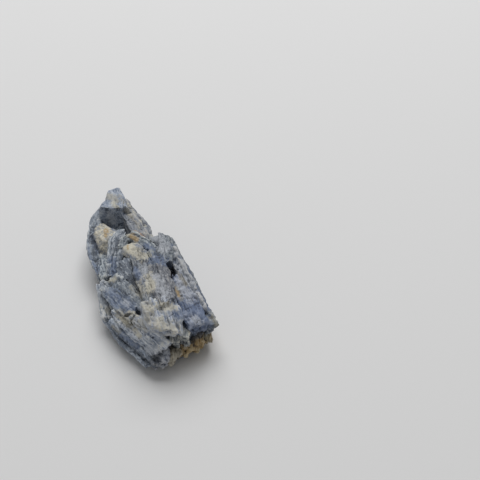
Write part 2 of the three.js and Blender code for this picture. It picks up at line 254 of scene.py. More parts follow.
patches = [
    ("cream", (6.3, 28.1, 13.2), (6.9, 20.7, 13.9), 0.7),  # shoulder crest
    ("cream", (6.9, 20.7, 13.9), (7.6, 14.1, 14.2), 0.6),
    ("cream", (-11.3, -18.8, 10.4), (-8.2, -22.6, 9.6), 1.0),  # under the block
    ("tan", (-10.4, -20.4, 10.2), (-7.5, -23.6, 8.6), 1.3),
    ("cream", (-9.0, -24.6, 10.2), (-8.2, -27.4, 9.8), 0.8),
    ("tan", (-2.8, -12.8, 17.8), (-4.0, -17.0, 17.4), 1.0),
    ("pale", (-10.4, -12.0, 13.2), (-8.4, -17.0, 13.8), 1.3),  # left block crest
    ("deep", (-12.6, -22.4, 7.0), (-9.6, -28.2, 7.0), 1.2),
    ("deep", (-12.2, 16.0, 10.4), (-11.6, 4.0, 8.6), 1.0),
    ("tan", (4.0, 31.0, 13.4), (5.6, 14.4, 15.0), 1.2),
    ("cream", (6.7, 10.2, 15.4), (7.8, 4.4, 15.6), 0.9),
    ("cream", (-1.5, 4.5, 16.2), (1.7, -2.1, 17), 2.2),  # seam head
    ("pale", (0.6, -5.0, 17.4), (-1.0, -14.8, 18.7), 1.3),  # ridge
    ("deep", (-2.6, -6.0, 16.6), (-2.2, -14.0, 17.4), 1.2),
    ("cream", (-0.1, -11.8, 18.2), (-1.0, -18.3, 19), 1.6),
    ("tan", (-5.4, -11.6, 15.7), (-2.9, -18.7, 16.7), 1.8),  # wedge foot
    ("cream", (-12.1, -2.3, 12.2), (-9.0, -4.1, 12.7), 1.1),  # block head
    ("cream", (-3.7, -25.4, 19.2), (2.9, -27.9, 19), 1.5),  # centre blade
    ("cream", (-3.3, -31.1, 17.7), (-0.2, -34.7, 16.7), 2.5),
    ("tan", (-4.3, -23.4, 19.2), (-5.2, -29.4, 17.7), 1.6),
    ("tan", (-11.9, -17.9, 11.2), (-5.6, -26.0, 11.8), 1.8),  # upper lath
    ("pale", (-10.0, -24.8, 10.2), (-9.4, -31.5, 10.2), 1.3),
    ("rust", (6.0, -14.3, 15.7), (5.8, -18.4, 15.7), 0.9),  # crevice
    ("tan", (8.1, -12.2, 17.7), (9.7, -18.7, 17.5), 1.2),
    ("pale", (7.8, -18.7, 18.2), (9.2, -24.3, 17), 2.0),  # inner right blade
    ("pale", (7.8, -31.2, 14.7), (9.2, -32.6, 14.2), 1.3),
    ("rust", (-4.2, 19.0, 12.2), (-5.0, 16.0, 12.2), 0.9),  # pocket
    ("deep", (-8.8, 19.5, 10.6), (-9.2, 12.8, 9.6), 1.0),
    ("deep", (-2.4, 22.4, 12), (-1.8, 18.2, 12), 0.8),
    ("rust", (-0.9, 5.4, 16.6), (-1.6, 3.2, 16.8), 0.5),  # seam
    ("rust", (1.6, 9.4, 15.8), (2.5, 7.2, 15.9), 0.9),  # arched lath
    ("cream", (0.6, 10.2, 15.8), (1.8, 8.8, 15.8), 0.7),
    ("deep", (-3.4, 4.0, 16.0), (-2.6, 0.0, 16.4), 1.0),
    ("deep", (1.6, 4.6, 16.2), (2.6, 1.4, 16.6), 0.9),
    ("tan", (-13.6, -11.0, 7.7), (-13.5, -12.6, 7.7), 1.0),  # foot
    ("tan", (-14.5, -18.2, 7.2), (-12.9, -21.1, 7.2), 0.9),
    ("cream", (-8.9, -19.8, 13.2), (-7.0, -22.0, 13.4), 0.9),  # block foot
    ("pale", (8.4, -31.6, 14.6), (9.4, -32.0, 14.3), 0.7),  # inner right blade
    ("pale", (6.4, -19.4, 17.8), (8.4, -22.6, 17.0), 1.3),
    ("pale", (4.4, -4.4, 17.8), (6.2, -3.4, 18.0), 0.5),
    ("cream", (1.0, 27.6, 15.2), (1.6, 25.2, 15.6), 1.0),
    ("dark", (-5.4, -33.2, 4.8), (-5.8, -34.8, 5.8), 2.4),  # front pit, painted shade in the pit
    ("rust", (6.2, -18.2, 17.0), (6.3, -22.6, 17.0), 0.5),  # below the crevice
    ("tan", (5.9, -16.6, 17.0), (6.4, -24.0, 17.0), 0.9),
    ("pale", (-0.6, 26.0, 13.0), (-0.4, 24.8, 9.4), 1.3),  # wall under the tip
    ("pale", (2.4, 26.0, 13.0), (2.6, 24.8, 9.4), 1.2),
    ("deep", (0.9, 25.6, 11.4), (1.1, 24.6, 7.4), 0.9),
    ("deep", (4.4, -4.6, 17.0), (6.6, -9.2, 17.4), 2.3),  # knob facet
    ("deep", (7.2, -25.4, 16.2), (11.6, -30.4, 13.9), 2.5),  # inner right blade, near end
    ("deep", (6.8, -30.4, 11.7), (11.4, -32.7, 11.7), 2.2),
    ("deep", (4.3, 2.7, 16.2), (5.0, -0.2, 16.7), 1.4),
    ("deep", (11.4, -0.8, 16.7), (9.5, -7.3, 16.2), 1.2),
    ("deep", (2.2, -26.6, 18.8), (3.6, -31.3, 17.7), 1.4),
    ("deep", (12.5, -6.1, 16.7), (13.6, -27.0, 12.4), 1.1),  # outer edge
    ("tan", (14.1, -30.0, 11.6), (14.4, -33.0, 10.8), 1.2),
    ("dark", (-8.6, 19.9, 10.2), (-10.1, 12.9, 9.2), 1.1),  # rim groove, painted shade in the groove
    # painted shade in the gaps between blades and under the overhanging ends
    ("dark", (-4.2, -7.8, 15.2), (-1.8, -12.6, 15.7), 1.8),
    ("dark", (-14.4, -18.6, 5.7), (-8.0, -33.7, 5.2), 1.0),
    ("dark", (5.7, -28.1, 11.2), (5.0, -31.6, 9.2), 1.6),
    ("tan", (1.0, 33.5, 13.8), (2.6, 28.8, 14.8), 1.6),  # tip
    ("pale", (8.5, 5.2, 17.7), (8.7, -2.2, 18), 2.0),  # knob
    ("pale", (2.0, -14.2, 19.2), (1.9, -23.8, 19.7), 1.8),
    ("pale", (10.6, -9.9, 18.2), (11.4, -23.4, 15.7), 1.2),
    ("deep", (-11.9, -8.1, 12.7), (-8.1, -20.5, 14), 2.6),  # left block
    ("deep", (-6.9, 3.8, 12.2), (-7.0, -0.5, 11.7), 1.6),
    ("pale", (-6.7, -32.4, 8.2), (-3.4, -35.4, 8.2), 1.4),  # front knob
    ("rust", (4.4, 30.0, 13.6), (4.8, 28.8, 13.8), 0.5),  # shoulder crest
    ("rust", (5.8, 25.0, 14.2), (6.2, 22.4, 14.6), 0.6),
    ("rust", (6.8, 12.6, 15.4), (7.2, 9.8, 15.6), 0.7),
    ("dark", (3.2, -33.2, 9.2), (9.4, -32.6, 8.8), 1.4),  # mica under the blade, painted shade cast by the blade
    ("rust", (8.2, -33.0, 6.4), (9.6, -32.6, 3.6), 1.5),
    ("rust", (3.8, -34.6, 5.8), (5.8, -34.1, 4.6), 1.3),
    ("tan", (11.4, -31.6, 6.0), (12.8, -31.2, 3.0), 1.4),
]


def stainAndShadeAmounts(points):  # for each kind, how deep inside its nearest patch each point is, 0 to 1
    amounts = {kind: np.zeros(len(points)) for kind in stainAndShadeColours}
    for kind, start, end, radius in patches:
        start, run = np.array(start), np.array(end) - np.array(start)
        share = np.clip((points - start) @ run / (run @ run), 0, 1)
        away = np.linalg.norm(points - start - share[:, None] * run, axis=1)
        amounts[kind] = np.maximum(amounts[kind], np.clip(1.25 - 0.75 * away / radius, 0, 1))
    return amounts


# shapes: each crystal is a finer skin over its solid

skin = {  # millimetres
    "voxel": 0.23, "swell": 0.06, "resting": 0.15,  # points lower than resting stay on the floor
    "reach": 1.6, "overlap": 0.14,  # how far a surface looks for the next crystal, and meets it
    "slowBend": 0.55, "slowScale": 0.17, "quickBend": 0.24, "quickScale": 0.62,
}
solids = {}
for solidName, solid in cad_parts.items():
    corners = np.zeros(len(solid.data.vertices) * 3, np.float32)
    solid.data.vertices.foreach_get("co", corners)
    triangles = [tuple(polygon.vertices) for polygon in solid.data.polygons]
    solids[solidName] = ((corners.reshape(-1, 3) * 1000).tolist(), triangles)


def neighboursOf(node):  # a search tree over every other crystal
    points, faces = [], []
    for other, (corners, triangles) in solids.items():
        if other != node:
            faces += [tuple(corner + len(points) for corner in triangle) for triangle in triangles]
            points += corners
    return BVHTree.FromPolygons(points, faces, all_triangles=True)


def fineSkin(node, voxel):  # an even mesh over a copy of the solid
    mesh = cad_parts[node].data.copy()
    form = bmesh.new()
    form.from_mesh(mesh)
    bmesh.ops.remove_doubles(form, verts=form.verts, dist=2e-6)
    form.to_mesh(mesh)
    form.free()
    rough = bpy.data.objects.new(node + "_rough", mesh)
    bpy.context.scene.collection.objects.link(rough)
    remesh = rough.modifiers.new("even", "REMESH")
    remesh.mode = "VOXEL"
    remesh.voxel_size = voxel / 1000
    fine = bpy.data.meshes.new_from_object(rough.evaluated_get(bpy.context.evaluated_depsgraph_get()))
    bpy.data.objects.remove(rough)
    return fine


def smoothed(mesh, points, rounds):  # each point moved towards the middle of the points it is joined to
    ends = np.zeros(len(mesh.edges) * 2, np.int32)
    mesh.edges.foreach_get("vertices", ends)
    first, second = ends[::2], ends[1::2]
    size = len(points)
    count = np.maximum(np.bincount(ends, minlength=size), 1)
    for _ in range(rounds):
        sides = [np.bincount(first, points[second, axis], size) + np.bincount(second, points[first, axis], size)
                 for axis in range(3)]
        points = 0.4 * points + 0.6 * np.stack(sides, 1) / count[:, None]
    return points


def setPoints(mesh, points):
    mesh.vertices.foreach_set("co", (points / 1000).astype(np.float32).ravel())
    mesh.update()


openGaps = [  # the gaps that stay open: the middle and the half sizes
    ((7.6, -12.6, 15.2), (1.5, 4.2, 6.0)),  # crevice
    ((-9.3, -20.5, 11.9), (1.9, 1.9, 1.9)),  # slit under the left block
    ((-5.8, -35.8, 7.2), (1.5, 2.4, 1.9)),  # pit in the front knob
]


def closing(points):  # 0 in an open gap, 1 well outside every gap
    share = np.ones(len(points))
    for middle, half in openGaps:
        share = np.minimum(share, eased(np.linalg.norm((points - middle) / half, axis=1), 1.1, 1.6))
    return share


def meeting(points, facing, others):  # how each point reaches for the next crystal, and how near that is
    reach = skin["reach"]
    found = [others.find_nearest(point, reach) for point in points.tolist()]
    near = np.array([hit[3] if hit[0] else reach for hit in found])
    towards = np.array([hit[0][:] if hit[0] else point for hit, point in zip(found, points.tolist())]) - points
    towards /= np.maximum(np.linalg.norm(towards, axis=1, keepdims=True), 1e-6)
    faced = eased((towards * facing).sum(1), 0.1, 0.8)
    step = (near / 2 + skin["overlap"]) * faced * closing(points) * eased(reach - near, 0, 0.9)
    return towards * step[:, None], near


def bent(points):  # the whole cluster is a little uneven, so that no edge runs straight
    slow = np.array([noise.noise_vector(p)[:] for p in (points * skin["slowScale"]).tolist()])
    quick = np.array([noise.noise_vector(p)[:] for p in (points * skin["quickScale"] + 31).tolist()])
    return skin["slowBend"] * slow + skin["quickBend"] * quick


# each point's place across, along and above its blade's growth line, and the line's direction there
def growthLines(points, look):
    line = np.array(look["grain"], float)
    share = np.linspace(0, 1, 1 if len(line) == 2 else 160)[:, None]
    if len(line) == 2:
        middle = line[:1]
        along = line[1:] - line[:1]
    else:
        middle = (1 - share) ** 2 * line[0] + 2 * share * (1 - share) * line[1] + share ** 2 * line[2]
        along = (1 - share) * (line[1] - line[0]) + share * (line[2] - line[1])
    along = along / np.linalg.norm(along, axis=1, keepdims=True)
    side = np.cross((0, 0, 1), along)
    side /= np.linalg.norm(side, axis=1, keepdims=True)
    up = np.cross(along, side)
    roll = math.radians(look.get("roll", 0))
    side, up = side * math.cos(roll) + up * math.sin(roll), up * math.cos(roll) - side * math.sin(roll)
    steps = np.linalg.norm(np.diff(middle, axis=0, prepend=middle[:1]), axis=1)
    nearest = np.argmin(((points[:, None] - middle[None]) ** 2).sum(2), axis=1)
    away = points - middle[nearest]
    place = np.stack([(away * side[nearest]).sum(1),
                      np.cumsum(steps)[nearest] + (away * along[nearest]).sum(1),
                      (away * up[nearest]).sum(1)], axis=1)
    return place, along[nearest]


def rolling(points, scale, seed):  # smooth noise, about -1 to 1
    return np.array([noise.noise(p) for p in (points * scale + seed * 7.31).tolist()])


def patchy(points, scale, seed):  # one value for each block, 0 to 1
    return np.array([noise.cell(p) for p in (points * scale + seed * 3.17).tolist()])


def eased(value, low, high):
    share = np.clip((value - low) / (high - low), 0, 1)
    return share * share * (3 - 2 * share)


def readMesh(mesh, what, source):
    values = np.zeros(len(source) * 3, np.float32)
    source.foreach_get(what, values)
    return values.reshape(-1, 3).astype(float)


def keepVector(mesh, name, values):
    kept = mesh.attributes.new(name, "FLOAT_VECTOR", "POINT")
    kept.data.foreach_set("vector", values.astype(np.float32).ravel())


def finishMesh(mesh, start, points, grain, relief, near, bleed=0):
    points = points + bent(start)
    points[:, 2] = np.where(start[:, 2] < skin["resting"], 0, np.maximum(points[:, 2], 0.02))
    setPoints(mesh, points)
    facing = readMesh(mesh, "vector", mesh.vertex_normals)
    hollow = ((smoothed(mesh, points, 10) - points) * facing).sum(1)  # above 0 in a groove, below 0 on an edge
    # relief is partly the worn height and partly painted shade: it drops in grooves, creases and where crystals
    # meet, and the skins darken the colour there
    relief = np.clip(0.5 * relief - hollow / 0.2 - 0.4 * np.exp(-near / 0.3), -1, 1)
    mesh.polygons.foreach_set("use_smooth", np.ones(len(mesh.polygons), bool))
    amounts = stainAndShadeAmounts(points)
    amounts["deep"] = np.maximum(amounts["deep"], bleed * np.exp(-near / 0.9))
    keepVector(mesh, "grain", grain)
    keepVector(mesh, "warm", np.stack([amounts["cream"], amounts["rust"], amounts["deep"]], 1))
    keepVector(mesh, "cool", np.stack([amounts["pale"], amounts["dark"], amounts["tan"]], 1))
    mesh.attributes.new("relief", "FLOAT", "POINT").data.foreach_set("value", relief.astype(np.float32))


weather = {  # how often each kind of wear repeats, per millimetre; three values are across, along, above
    "edges": 0.5, "lumps": 0.3, "grit": 1.1, "pits": 0.8, "splinters": 0.85, "stairs": (0.42, 0.035, 0.42),
    "creases": (0.85, 0.06, 0.85), "fibres": (1.7, 0.14, 1.7), "cracks": (0.22, 0.26, 0.22),
}
gritDepth = 0.14


def weatheredBlade(mesh, look):  # worn edges, then ribs, steps, splinters and cracks along the grain
    start = readMesh(mesh, "co", mesh.vertices) * 1000
    facing = readMesh(mesh, "vector", mesh.vertex_normals)
    grain, along = growthLines(start, look)
    seed = look["seed"]
    move, near = meeting(start, facing, neighboursOf(look["node"]))
    ending = eased(np.abs((facing * along).sum(1)), 0.45, 0.8)
    outward = np.sign((facing * along).sum(1))
    wear = np.clip(0.62 + 0.9 * rolling(start, weather["edges"], 17), 0.15, 1)
    worn = start + (smoothed(mesh, start, look["wear"]) - start) * wear[:, None]
    setPoints(mesh, worn)
    facing = readMesh(mesh, "vector", mesh.vertex_normals)
    stair = rolling(grain, weather["stairs"], seed) * look["steps"]
    level = np.floor(stair)
    stepped = (level + eased(stair - level, 0.7, 1.0)) / look["steps"]
    creases = np.clip(1 - np.abs(rolling(grain, weather["creases"], seed + 1)) * 7, 0, 1)
    fibres = rolling(grain, weather["fibres"], seed + 2)
    lumps = rolling(start, weather["lumps"], 3)
    grit = rolling(start, weather["grit"], 4)
    pits = eased(rolling(start, weather["pits"], 9), 0.3, 0.6)
    cracks = np.clip(1 - np.abs(rolling(grain, weather["cracks"], seed + 5)) * 14, 0, 1)
    height = (look["ribs"] * stepped + look["fibreDepth"] * fibres + look["lumps"] * lumps + gritDepth * grit
              - look["creases"] * creases - look["cracks"] * cracks - look["pits"] * pits)
    splinter = patchy(grain * (1, 0, 1) + 0.3 * fibres[:, None], weather["splinters"], seed)
    points = worn + move + facing * (skin["swell"] + height * (1 - 0.7 * ending))[:, None]
    points += along * (outward * ending * look["splinters"] * (0.35 - splinter))[:, None]
    finishMesh(mesh, start, points, grain, (height + 0.05) / 0.6, near)


def skinMaterial(name, group, look, settings):
    material = bpy.data.materials.new(name)
    material.use_nodes = True
    tree = material.node_tree
    shader = tree.nodes["Principled BSDF"]
    place = tree.nodes.new("ShaderNodeTexCoord").outputs["Object"]
    mapping = tree.nodes.new("ShaderNodeMapping")
    mapping.inputs["Scale"].default_value = (1000, 1000, 1000)  # metres to millimetres
    tree.links.new(place, mapping.inputs["Vector"])
    kept = {}
    for label in ("grain", "warm", "cool", "relief"):
        node = tree.nodes.new("ShaderNodeAttribute")
        node.attribute_name = label
        kept[label] = node.outputs["Fac" if label == "relief" else "Vector"]
    made = placed(tree, group, Grain=kept["grain"], Place=mapping.outputs[0], Relief=kept["relief"],
                  Warm=kept["warm"], Cool=kept["cool"], Seed=float(look["seed"]), **settings)
    bump = tree.nodes.new("ShaderNodeBump")
    bump.inputs["Strength"].default_value = look.get("bump", 0.6)
    bump.inputs["Distance"].default_value = 0.00022
    tree.links.new(made["Height"], bump.inputs["Height"])
    tree.links.new(bump.outputs[0], shader.inputs["Normal"])
    tree.links.new(made["Color"], shader.inputs["Base Color"])
    tree.links.new(made["Roughness"], shader.inputs["Roughness"])
    shader.inputs["Specular IOR Level"].default_value = look.get("gloss", 0.4)
    return material


def settle(look, mesh, material):
    piece = bpy.data.objects.new(look["node"] + "_crystal", mesh)
    bpy.context.scene.collection.objects.link(piece)
    mesh.materials.clear()
    mesh.materials.append(material)
    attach(piece, "root")
    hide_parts(look["node"])
    return piece


bladeLook = {
    "roll": 0, "wear": 12, "ribs": 0.5, "steps": 4, "fibreDepth": 0.12,  # wear is in rounds of smoothing
    "lumps": 0.4, "creases": 0.14, "cracks": 0.14, "splinters": 0.5, "pits": 0.2,
    "dark": (80, 88, 102), "mid": (126, 134, 147), "pale": (170, 174, 180), "crust": (174, 173, 166),
    "tone": (1, 1, 1), "balance": 0.0, "veil": 0.3, "fibres": 0.3,  # tone multiplies the four colours
}


def growBlade(own):
    look = {**bladeLook, **own}
    mesh = fineSkin(look["node"], look.get("voxel", skin["voxel"]))
    weatheredBlade(mesh, look)
    settings = {"Dark": shaded(look["dark"], look["tone"]), "Mid": shaded(look["mid"], look["tone"]),
                "Pale": shaded(look["pale"], look["tone"]), "Crust": shaded(look["crust"], look["tone"]),
                "Balance": look["balance"], "Veil": look["veil"], "Fibres": look["fibres"]}
    return settle(look, mesh, skinMaterial(look["node"] + "_finish", kyanite, look, settings))


# the kyanite blades, from the pointed end to the broken end
# grain is the line that the fibres follow, in millimetres

tipBlade = {"node": "tip_blade", "grain": [(4, 37, 13), (0.6, 25.4, 16)], "roll": 4, "seed": 3,
            "balance": 0.02, "veil": 0.45, "ribs": 0.3, "splinters": 0.2, "creases": 0.1, "wear": 20,
            "lumps": 0.5, "pits": 0.05, "tone": (1.08, 1.12, 1.18)}
growBlade(tipBlade)
curvedBlade = {"node": "curved_blade", "grain": [(1.0, 14.0, 14.8), (-3.6, 12.8, 16.2), (-8.8, -3.4, 11)],
               "roll": 12, "seed": 5, "balance": -0.05, "fibres": 0.8, "veil": 0.1, "tone": (1.53, 1.49, 1.37)}
growBlade(curvedBlade)
archedLath = {"node": "arched_lath", "grain": [(-2.6, 6.8, 15), (2, 14.8, 15.8), (5.8, 0.6, 17)], "seed": 6,
              "balance": -0.05, "ribs": 0.2, "veil": 0.1, "wear": 4, "tone": (1.62, 1.55, 1.33)}
growBlade(archedLath)
rightShoulderBlade = {"node": "right_shoulder_blade", "grain": [(5.0, 34.2, 12.6), (6.5, 2.4, 15.4)],
                      "roll": -6, "seed": 7, "veil": 0.4, "tone": (0.95, 0.91, 0.86)}
growBlade(rightShoulderBlade)
knobBlade = {"node": "knob_blade", "grain": [(9.8, 6.6, 17.2), (5.8, -9.8, 18.6)], "roll": 4, "seed": 11,
             "lumps": 0.5, "tone": (0.68, 0.69, 0.66)}
growBlade(knobBlade)
leftBlockBlade = {"node": "left_block_blade", "grain": [(-11, -2.2, 11.6), (-6.8, -22.2, 14.4)], "roll": 26,
                  "seed": 13, "balance": -0.02, "veil": 0.15, "ribs": 0.35, "creases": 0.15, "wear": 5,
                  "tone": (1.29, 1.27, 1.18)}
growBlade(leftBlockBlade)
centreBlade = {"node": "centre_blade", "grain": [(-0.8, -23.2, 19.4), (-1.6, -34, 15.8)], "roll": 6,
               "seed": 17, "balance": 0.06, "veil": 0.75, "lumps": 0.45, "wear": 7, "tone": (1.27, 1.31, 1.41)}
growBlade(centreBlade)
innerRightBlade = {"node": "inner_right_blade", "grain": [(8.1, -14.3, 18.8), (9, -33.2, 14)], "roll": -4,
                   "seed": 19, "balance": 0.0, "veil": 0.2, "splinters": 0.5, "tone": (0.88, 0.92, 1.05)}
growBlade(innerRightBlade)
outerRightBlade = {"node": "outer_right_blade", "grain": [(12.2, 4.2, 17.4), (14.2, -33.8, 11.2)], "roll": -26,
                   "seed": 23, "balance": -0.06, "veil": 0.1, "tone": (1.18, 1.14, 1.02)}
growBlade(outerRightBlade)
rightLath = {"node": "right_lath", "grain": [(10.8, -1.8, 18.6), (12, -31.3, 13.4)], "roll": -6, "seed": 29,
             "balance": 0.04, "tone": (1.14, 1.10, 1.04)}
growBlade(rightLath)
upperCentreBlade = {"node": "upper_centre_blade", "grain": [(4.4, -7.3, 18.4), (1.6, -26.6, 20)], "roll": 2,
                    "seed": 31, "balance": -0.01, "veil": 0.35, "fibres": 0.5, "tone": (0.57, 0.54, 0.52)}
growBlade(upperCentreBlade)
ridgeBlade = {"node": "ridge_blade", "grain": [(1.0, 3.0, 16.6), (-1.6, -22.8, 19.2)], "roll": 10, "seed": 37,
              "balance": 0.0, "veil": 0.4, "fibres": 0.5, "tone": (0.64, 0.64, 0.62)}
growBlade(ridgeBlade)
darkWedgeBlade = {"node": "dark_wedge_blade", "grain": [(-4.6, 1.6, 14.8), (-4.2, -18.8, 15.8)], "roll": 16,
                  "seed": 41, "balance": -0.08, "veil": 0.1, "fibres": 0.85, "tone": (1.65, 1.59, 1.45)}
growBlade(darkWedgeBlade)
leftRimBlade = {"node": "left_rim_blade", "grain": [(0.4, 33.6, 12), (-11.6, 23.7, 11.2), (-11.4, 3.8, 8)],
                "roll": 14, "seed": 43, "balance": -0.01, "tone": (1.32, 1.31, 1.25)}
growBlade(leftRimBlade)
frontUpperLath = {"node": "front_upper_lath", "grain": [(-9.8, -19.8, 13.2), (-1.6, -35.8, 11.4)], "roll": 26,
                  "seed": 47, "veil": 0.5, "balance": 0.03, "tone": (1.80, 1.80, 1.80)}
growBlade(frontUpperLath)
lowerLeftLath1 = {"node": "lower_left_lath_1", "grain": [(-13.4, -14.8, 10), (-5.4, -35.3, 9)], "roll": 34,
                  "seed": 53, "balance": 0.0, "veil": 0.3, "fibres": 0.5, "tone": (1.73, 1.69, 1.61)}
growBlade(lowerLeftLath1)
lowerLeftLath2 = {"node": "lower_left_lath_2", "grain": [(-14.6, -15.3, 7.4), (-7.4, -34.8, 6.6)], "roll": 40,
                  "seed": 59, "balance": -0.01, "tone": (1.62, 1.66, 1.66)}
growBlade(lowerLeftLath2)
lowerLeftLath3 = {"node": "lower_left_lath_3", "grain": [(-14.2, -9.8, 5.2), (-7.4, -34.2, 4.6)], "roll": 10,
                  "seed": 73, "balance": -0.06, "veil": 0.15, "tone": (2.30, 2.25, 2.10)}
growBlade(lowerLeftLath3)
frontKnobBlade = {"node": "front_knob_blade", "grain": [(-5, -28.8, 8.4), (-5, -37.6, 7.2)], "roll": 6,
                  "seed": 61, "balance": 0.02, "veil": 0.4, "tone": (1.17, 1.14, 1.13)}
growBlade(frontKnobBlade)
endStubBlade = {"node": "end_stub_blade", "grain": [(4.4, -24.8, 14.4), (2.2, -35.2, 11.8)], "seed": 67,
                "balance": -0.03, "veil": 0.3, "tone": (1.75, 1.60, 1.28)}
growBlade(endStubBlade)
leftFootBlade = {"node": "left_foot_blade", "grain": [(-12.4, -0.3, 9.2), (-14.2, -14.8, 6.6)], "roll": 26,
                 "seed": 71, "veil": 0.4, "lumps": 0.5, "tone": (1.69, 1.64, 1.53)}
growBlade(leftFootBlade)
terraceBlade = {"node": "terrace_blade", "grain": [(-0.4, 25.2, 8.6), (-4.4, -1.8, 10)], "roll": 4, "seed": 79,
                "balance": -0.04, "tone": (1.80, 1.76, 1.58)}
growBlade(terraceBlade)
rightFlankBlade = {"node": "right_flank_blade", "grain": [(11.8, 4.2, 11.2), (14, -29.8, 8.2)], "roll": -24,
                   "seed": 83}
growBlade(rightFlankBlade)
backFlankBlade = {"node": "back_flank_blade", "grain": [(6.2, 27.2, 8.2), (10, 0.2, 9.8)], "roll": -16,
                  "seed": 87}
growBlade(backFlankBlade)
baseLeftBlade = {"node": "base_left_blade", "grain": [(-4.9, 18.2, 7.2), (-6.9, -32.8, 8.2)], "seed": 89,
                 "voxel": 0.36}
growBlade(baseLeftBlade)
baseMiddleBlade = {"node": "base_middle_blade", "grain": [(2.6, 27.2, 8.6), (1.4, -32.3, 9.8)], "seed": 97,
                   "voxel": 0.36}
growBlade(baseMiddleBlade)
baseRightBlade = {"node": "base_right_blade", "grain": [(7.6, 12.2, 8.6), (9.2, -22.8, 10.8)], "seed": 101,
                  "voxel": 0.36}
growBlade(baseRightBlade)
print("kyanite blades made")


# quartz: cream, granular, stained with rust in the hollow

# groove is the colour of painted shade in grooves and where crystals meet
quartzDetail = {"grain": tint(214, 208, 192), "mottle": tint(126, 134, 146), "speck": tint(120, 122, 126),
                "grooveShade": tint(92, 90, 84)}


def quartzSkin():
    own = [("Body", "Color", None), ("Stain", "Color", None), ("Staining", "Float", 0.4)]
    group, put, out = newGroup("Quartz skin", skinInputs + own, skinOutputs)
    seed = put["Seed"]
    blotch = cloud(group, put["Place"], 0.45, 6.0, seed, 0.6)
    mottle = cloud(group, put["Place"], 0.8, 6.0, sums(group, "ADD", seed, 12.0), 0.7, 0.8)
    grains = cloud(group, put["Place"], 1.7, 4.0, sums(group, "ADD", seed, 4.0), 0.6)
    speck = cloud(group, put["Place"], 4.0, 2.0, sums(group, "ADD", seed, 8.0))
    colour = blendColours(group, between(group, grains, 0.42, 0.62), put["Body"], quartzDetail["grain"])
    low = sums(group, "SUBTRACT", 0.7, sums(group, "MULTIPLY", put["Staining"], 0.4))
    rusty = between(group, blotch, low, sums(group, "ADD", low, 0.12), 0.8)
    colour = blendColours(group, rusty, colour, put["Stain"])
    colour = blendColours(group, between(group, mottle, 0.49, 0.58, 0.7), colour, quartzDetail["mottle"])
    colour = blendColours(group, between(group, speck, 0.58, 0.7, 0.6), colour, quartzDetail["speck"])
    colour = stainedAndShadedColour(group, put, colour)
    # painted shade: darker in grooves and where crystals meet
    grooveShade = between(group, sums(group, "MULTIPLY", put["Relief"], -1.0), 0.2, 0.9, 0.5)
    feed(group, out["Color"], blendColours(group, grooveShade, colour, quartzDetail["grooveShade"]))
    feed(group, out["Roughness"], weighted(group, (grains, -0.25), (0.68, 1.0)))
    feed(group, out["Height"], weighted(group, (grains, 1.0), (speck, 0.5)))
    return group


quartz = quartzSkin()


def growQuartz(look):
    mesh = fineSkin(look["node"], skin["voxel"])
    start = readMesh(mesh, "co", mesh.vertices) * 1000
    facing = readMesh(mesh, "vector", mesh.vertex_normals)
    move, near = meeting(start, facing, neighboursOf(look["node"]))
    worn = smoothed(mesh, start, 12)
    ribs = rolling(start, (0.9, 0.3, 0.9), 54)
    lumps, grains, grit = rolling(start, 0.3, 51), rolling(start, 1.3, 52), rolling(start, 2.4, 53)
    height = 0.4 * lumps + 0.3 * ribs + 0.16 * grains + 0.08 * grit
    points = worn + move + facing * (skin["swell"] + height)[:, None]
    finishMesh(mesh, start, points, start, height / 0.6, near, 0.9)
    settings = {"Body": tint(*look["body"]), "Stain": tint(*look["stain"]), "Staining": look["staining"]}
    return settle(look, mesh, skinMaterial(look["node"] + "_finish", quartz, look, settings))


quartzPocket = {"node": "quartz_pocket", "seed": 103, "body": (174, 170, 156), "stain": (160, 142, 108),
                "staining": 0.3}
growQuartz(quartzPocket)
quartzSeam = {"node": "quartz_seam", "seed": 107, "body": (182, 180, 168), "stain": (168, 154, 122),
              "staining": 0.3}
growQuartz(quartzSeam)
quartzFleck = {"node": "quartz_fleck", "seed": 109, "body": (176, 150, 106), "stain": (176, 126, 62),
               "staining": 0.75}
growQuartz(quartzFleck)
print("quartz made")


# mica: golden-brown sheets, seen edge on

# painted shade in the grooves between sheets and where crystals meet
micaGrooveShade = tint(30, 24, 16)
micaVoxel = 0.24  # millimetres


